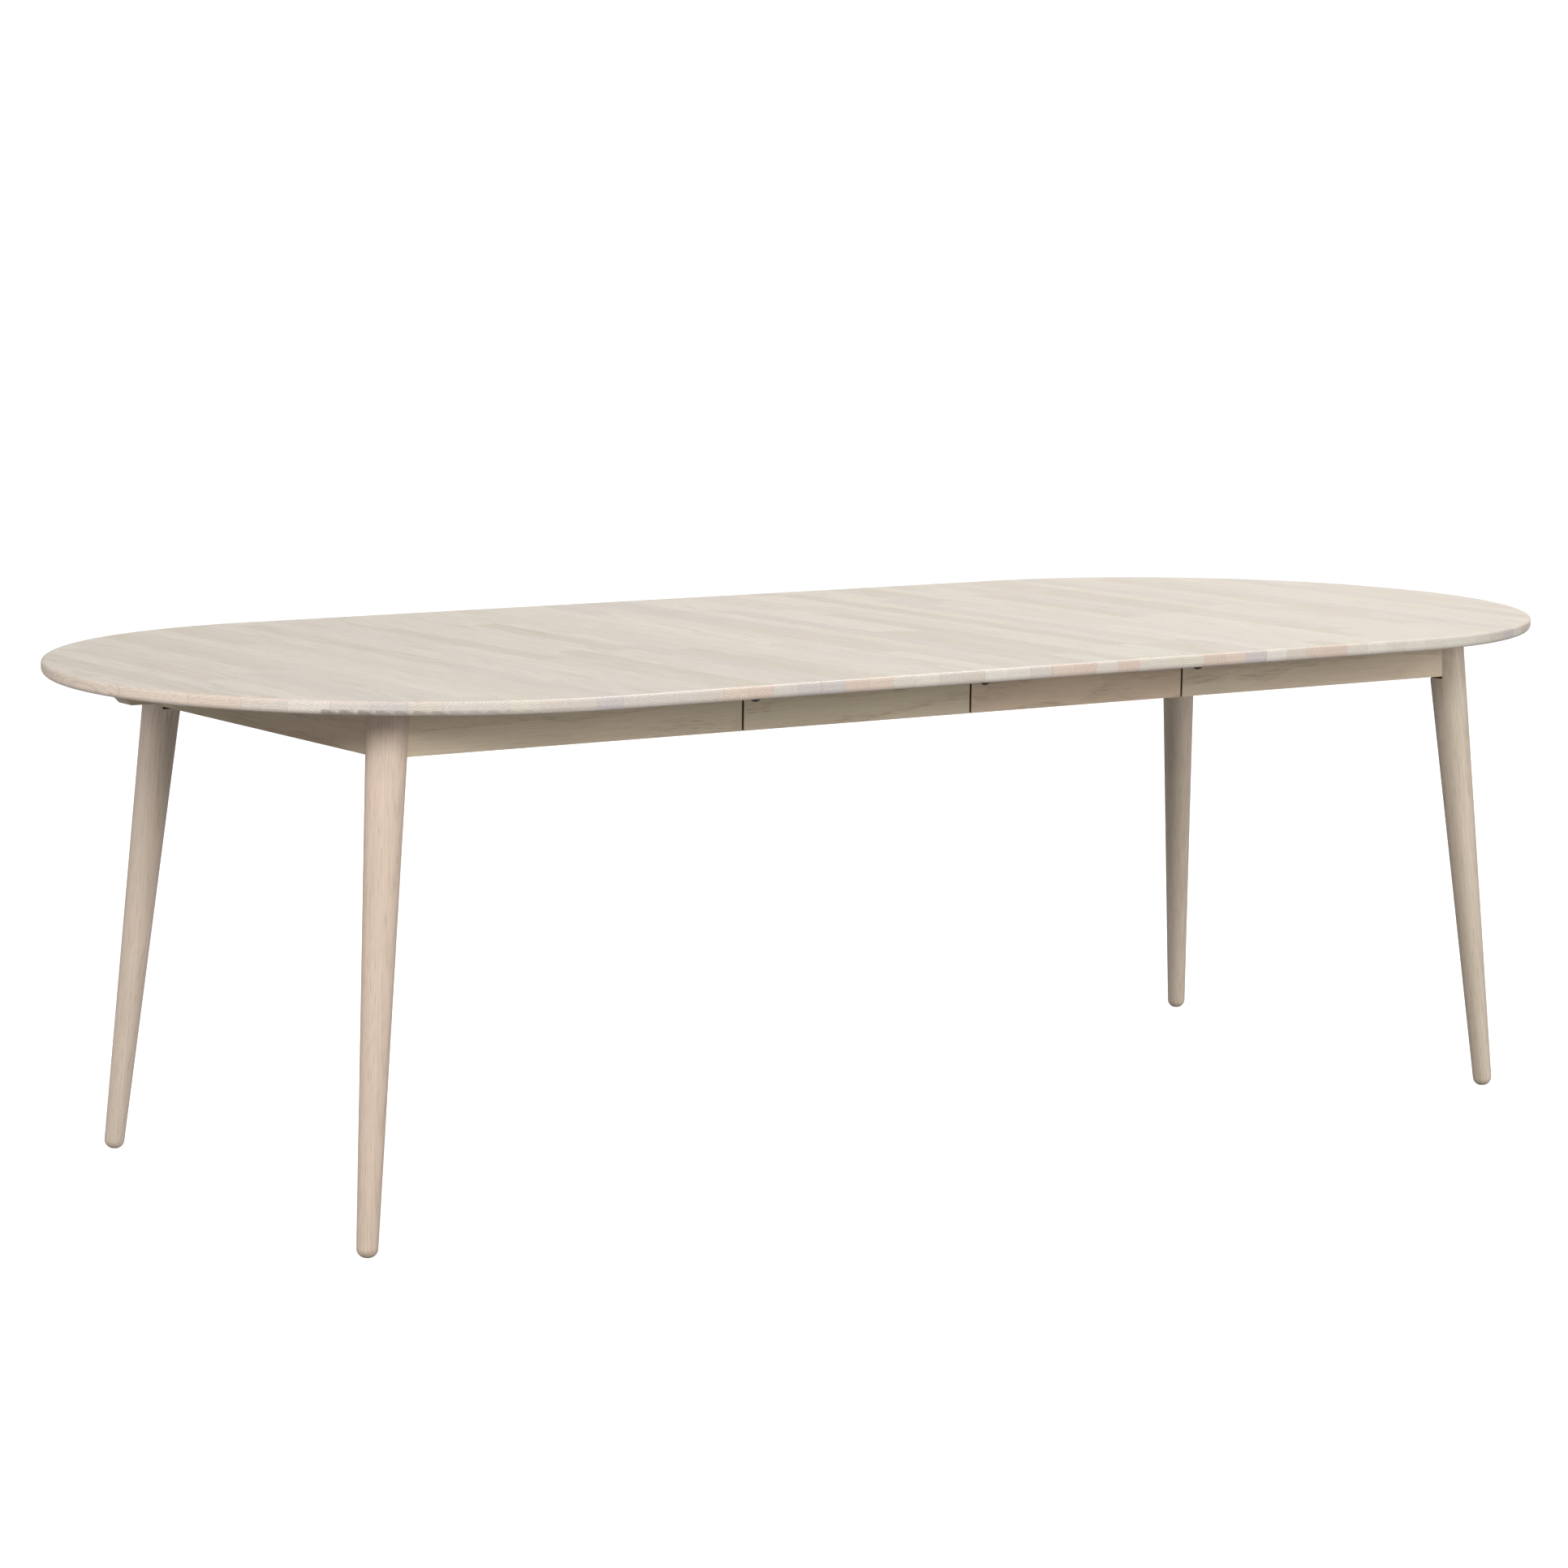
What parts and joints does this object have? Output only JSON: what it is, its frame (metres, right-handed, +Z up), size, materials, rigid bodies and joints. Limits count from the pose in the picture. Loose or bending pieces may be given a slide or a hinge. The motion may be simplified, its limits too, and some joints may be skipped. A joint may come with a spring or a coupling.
{
  "type": "extendable dining table",
  "caption": "Extendable oval dining table with two rounded halves, drop-in leaves, telescopic wooden rails and slanted round legs.",
  "frame": {"origin": "on the floor, under the middle of the table with both leaves in", "axes": "+X along the table's length towards the right half, +Y across it towards the rear, +Z up"},
  "size_m": [2.5, 1.06, 0.75],
  "materials": {
    "white_oak": "matt, white-pigmented oil",
    "frame_oak": "matt, white-pigmented oil",
    "rail_wood": "planed and waxed",
    "zinc_steel": "zinc-plated",
    "dark_nylon": "moulded, matt"
  },
  "bodies": {
    "half_left": {"top_left": "white_oak", "end_apron_left": "frame_oak", "front_apron_left": "frame_oak", "rear_apron_left": "frame_oak", "front_leg_left": "frame_oak", "rear_leg_left": "frame_oak", "corner_blocks_left": "rail_wood", "leg_bolts_left": "zinc_steel", "leg_nuts_left": "zinc_steel", "batten_left": "frame_oak", "front_rail_left": "rail_wood", "rear_rail_left": "rail_wood", "rail_screws_left": "zinc_steel", "rail_stops_left": "zinc_steel", "locating_pins_left": "rail_wood", "brackets_left": "zinc_steel", "screws_left": "zinc_steel", "catch_plates_left": "zinc_steel"},
    "half_right": {"top_right": "white_oak", "end_apron_right": "frame_oak", "front_apron_right": "frame_oak", "rear_apron_right": "frame_oak", "front_leg_right": "frame_oak", "rear_leg_right": "frame_oak", "corner_blocks_right": "rail_wood", "leg_bolts_right": "zinc_steel", "leg_nuts_right": "zinc_steel", "batten_right": "frame_oak", "front_rail_right": "rail_wood", "rear_rail_right": "rail_wood", "rail_screws_right": "zinc_steel", "rail_stops_right": "zinc_steel", "locating_pins_right": "rail_wood", "brackets_right": "zinc_steel", "screws_right": "zinc_steel", "keeper_plates_right": "zinc_steel"},
    "front_slider": {"front_slider": "rail_wood"},
    "rear_slider": {"rear_slider": "rail_wood"},
    "leaf_left": {"leaf_top_left": "white_oak", "leaf_front_apron_left": "frame_oak", "leaf_rear_apron_left": "frame_oak", "leaf_batten_left": "frame_oak", "leaf_brackets_left": "zinc_steel", "leaf_screws_left": "zinc_steel", "leaf_plates_left": "zinc_steel"},
    "leaf_right": {"leaf_top_right": "white_oak", "leaf_front_apron_right": "frame_oak", "leaf_rear_apron_right": "frame_oak", "leaf_batten_right": "frame_oak", "leaf_brackets_right": "zinc_steel", "leaf_screws_right": "zinc_steel", "leaf_plates_right": "zinc_steel"},
    "left_seam_front_catch": {"left_seam_front_catch": "dark_nylon"},
    "left_seam_rear_catch": {"left_seam_rear_catch": "dark_nylon"},
    "middle_seam_front_catch": {"middle_seam_front_catch": "dark_nylon"},
    "middle_seam_rear_catch": {"middle_seam_rear_catch": "dark_nylon"},
    "right_seam_front_catch": {"right_seam_front_catch": "dark_nylon"},
    "right_seam_rear_catch": {"right_seam_rear_catch": "dark_nylon"}
  },
  "joints": [
    {"name": "halves_apart", "type": "slide", "parent": "half_left", "child": "half_right", "axis": [1, 0, 0], "range_m": [0, 0.04]},
    {"name": "front_slider_slide", "type": "slide", "parent": "half_left", "child": "front_slider", "axis": [1, 0, 0], "range_m": [0, 0.02]},
    {"name": "rear_slider_slide", "type": "slide", "parent": "half_left", "child": "rear_slider", "axis": [1, 0, 0], "range_m": [0, 0.02]},
    {"name": "leaf_left_lift", "type": "slide", "parent": "half_left", "child": "leaf_left", "axis": [0, 0, 1], "range_m": [0, 0.2]},
    {"name": "leaf_right_lift", "type": "slide", "parent": "half_right", "child": "leaf_right", "axis": [0, 0, 1], "range_m": [0, 0.2]},
    {"name": "left_seam_front_catch_turn", "type": "hinge", "parent": "half_left", "child": "left_seam_front_catch", "pos_m": [-0.42, -0.38, 0.72], "axis": [0, 0, 1], "range_deg": [0, 90]},
    {"name": "left_seam_rear_catch_turn", "type": "hinge", "parent": "half_left", "child": "left_seam_rear_catch", "pos_m": [-0.42, 0.38, 0.72], "axis": [0, 0, -1], "range_deg": [0, 90]},
    {"name": "middle_seam_front_catch_turn", "type": "hinge", "parent": "leaf_left", "child": "middle_seam_front_catch", "pos_m": [-0.02, -0.38, 0.72], "axis": [0, 0, 1], "range_deg": [0, 90]},
    {"name": "middle_seam_rear_catch_turn", "type": "hinge", "parent": "leaf_left", "child": "middle_seam_rear_catch", "pos_m": [-0.02, 0.38, 0.72], "axis": [0, 0, -1], "range_deg": [0, 90]},
    {"name": "right_seam_front_catch_turn", "type": "hinge", "parent": "leaf_right", "child": "right_seam_front_catch", "pos_m": [0.38, -0.38, 0.72], "axis": [0, 0, 1], "range_deg": [0, 90]},
    {"name": "right_seam_rear_catch_turn", "type": "hinge", "parent": "leaf_right", "child": "right_seam_rear_catch", "pos_m": [0.38, 0.38, 0.72], "axis": [0, 0, -1], "range_deg": [0, 90]}
  ],
  "couplings": [
    {"joint": "front_slider_slide", "follows": "halves_apart", "ratio": 0.5},
    {"joint": "rear_slider_slide", "follows": "halves_apart", "ratio": 0.5}
  ]
}
